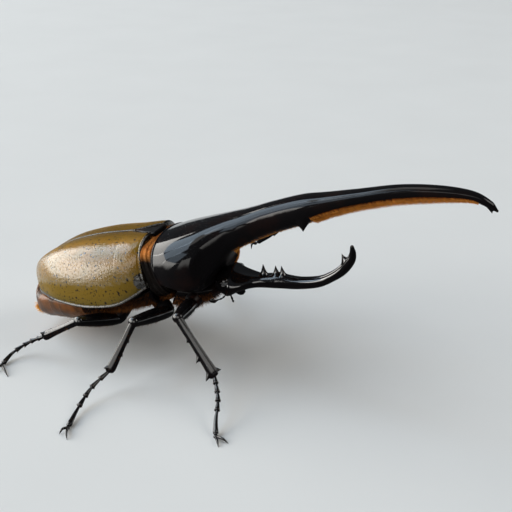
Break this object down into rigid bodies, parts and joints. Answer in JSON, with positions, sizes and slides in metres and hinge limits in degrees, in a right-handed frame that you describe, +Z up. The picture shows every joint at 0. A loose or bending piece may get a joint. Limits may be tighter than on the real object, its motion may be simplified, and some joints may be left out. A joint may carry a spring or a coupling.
{
  "type": "hercules beetle model",
  "caption": "Life-size still model of a male hercules beetle with a long forked pair of horns, olive wing cases and black shell, one foreleg raised.",
  "frame": {"origin": "on the floor, midway between the tail and the tip of the long horn, on the body's middle plane", "axes": "+X from the tail to the tip of the long horn, +Y to the beetle's left, +Z up"},
  "size_m": [0.1649, 0.1408, 0.0702],
  "materials": {
    "wing_cases": "glossy olive-ochre chitin with small black spots, black rim",
    "black_shell": "polished black chitin",
    "horns": "polished black horn",
    "legs": "polished black chitin with a fine grain",
    "belly_shell": "reddish-brown chitin, satin",
    "joint_membrane": "orange-brown skin of the joint behind the shield, satin",
    "eyes": "dark polished eye",
    "antennae": "dark brown-black chitin, satin"
  },
  "bodies": {
    "root": {"abdomen": "belly_shell", "antenna_l": "antennae", "antenna_r": "antennae", "elytron_l": "wing_cases", "elytron_r": "wing_cases", "eye_l": "eyes", "eye_r": "eyes", "fore_l_claws": "legs", "fore_l_femur": "legs", "fore_l_tarsus": "legs", "fore_l_tibia": "legs", "fore_r_claws": "legs", "fore_r_femur": "legs", "fore_r_tarsus": "legs", "fore_r_tibia": "legs", "head": "black_shell", "head_horn": "horns", "hind_l_claws": "legs", "hind_l_femur": "legs", "hind_l_tarsus": "legs", "hind_l_tibia": "legs", "hind_r_claws": "legs", "hind_r_femur": "legs", "hind_r_tarsus": "legs", "hind_r_tibia": "legs", "mandible_l": "black_shell", "mandible_r": "black_shell", "mid_l_claws": "legs", "mid_l_femur": "legs", "mid_l_tarsus": "legs", "mid_l_tibia": "legs", "mid_r_claws": "legs", "mid_r_femur": "legs", "mid_r_tarsus": "legs", "mid_r_tibia": "legs", "palp_l": "black_shell", "palp_r": "black_shell", "pronotum": "black_shell", "prosternum": "black_shell", "pygidium": "belly_shell", "scutellum": "black_shell", "thoracic_horn": "horns", "thorax": "black_shell", "waist": "joint_membrane"}
  },
  "joints": []
}
